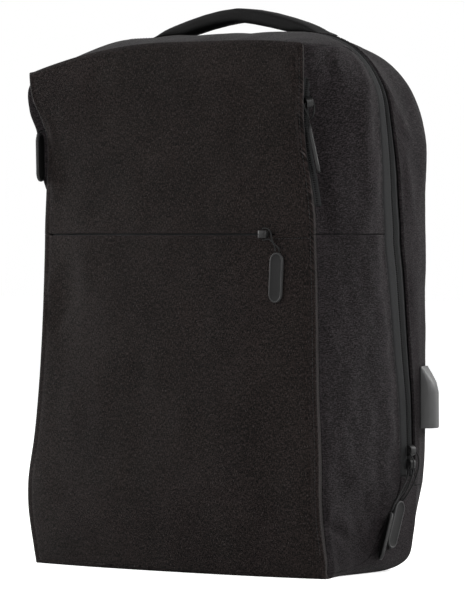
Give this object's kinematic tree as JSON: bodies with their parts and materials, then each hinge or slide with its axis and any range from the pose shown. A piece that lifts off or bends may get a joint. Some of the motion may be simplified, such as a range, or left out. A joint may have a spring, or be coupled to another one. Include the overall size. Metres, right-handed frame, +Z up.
{
  "type": "laptop backpack",
  "caption": "Slim commuter backpack of dark heather cloth with a ridged front pocket, wrap-round main zip, padded straps and a side charging socket.",
  "frame": {"origin": "on the floor under the middle of the body, in the base's flat underside", "axes": "+X to the right in a view of the front, +Y to the back with the shoulder straps, +Z up"},
  "size_m": [0.3157, 0.2224, 0.4552],
  "materials": {
    "front_cloth": "charcoal heather weave, its strands upright",
    "side_cloth": "charcoal heather weave, its strands level",
    "back_mesh": "black padded spacer mesh",
    "zip_tape": "dark woven zip tape with a nylon coil",
    "black_metal": "black painted zip slider",
    "tag_rubber": "moulded matte dark grey rubber with a raised rim",
    "webbing_cloth": "black woven webbing",
    "strap_cloth": "padded dark cloth",
    "buckle_plastic": "black moulded plastic",
    "socket_plastic": "smooth grey moulded plastic"
  },
  "bodies": {
    "root": {"front_panel_upper": "front_cloth", "front_panel_lower": "front_cloth", "side_upper_right": "side_cloth", "side_upper_left": "side_cloth", "side_lower_right": "side_cloth", "side_lower_left": "side_cloth", "top_strip": "side_cloth", "rear_gusset": "side_cloth", "base": "side_cloth", "back_panel": "back_mesh", "side_zip_tape_right": "zip_tape", "side_zip_tape_left": "zip_tape", "main_zip_tape": "zip_tape", "front_zip_tape": "zip_tape", "front_slider": "black_metal", "front_pull_cord": "zip_tape", "front_pull_tag": "tag_rubber", "side_right_slider": "black_metal", "side_right_pull_cord": "zip_tape", "side_right_pull_tag": "tag_rubber", "side_left_slider": "black_metal", "side_left_pull_cord": "zip_tape", "side_left_pull_tag": "tag_rubber", "main_upper_slider": "black_metal", "main_upper_pull_cord": "zip_tape", "main_upper_pull_tag": "tag_rubber", "main_lower_slider": "black_metal", "main_lower_pull_cord": "zip_tape", "main_lower_pull_tag": "tag_rubber", "handle": "webbing_cloth", "shoulder_strap_right": "strap_cloth", "ladder_lock_right": "buckle_plastic", "webbing_right": "webbing_cloth", "shoulder_strap_left": "strap_cloth", "ladder_lock_left": "buckle_plastic", "webbing_left": "webbing_cloth", "usb_housing": "socket_plastic"}
  },
  "joints": []
}
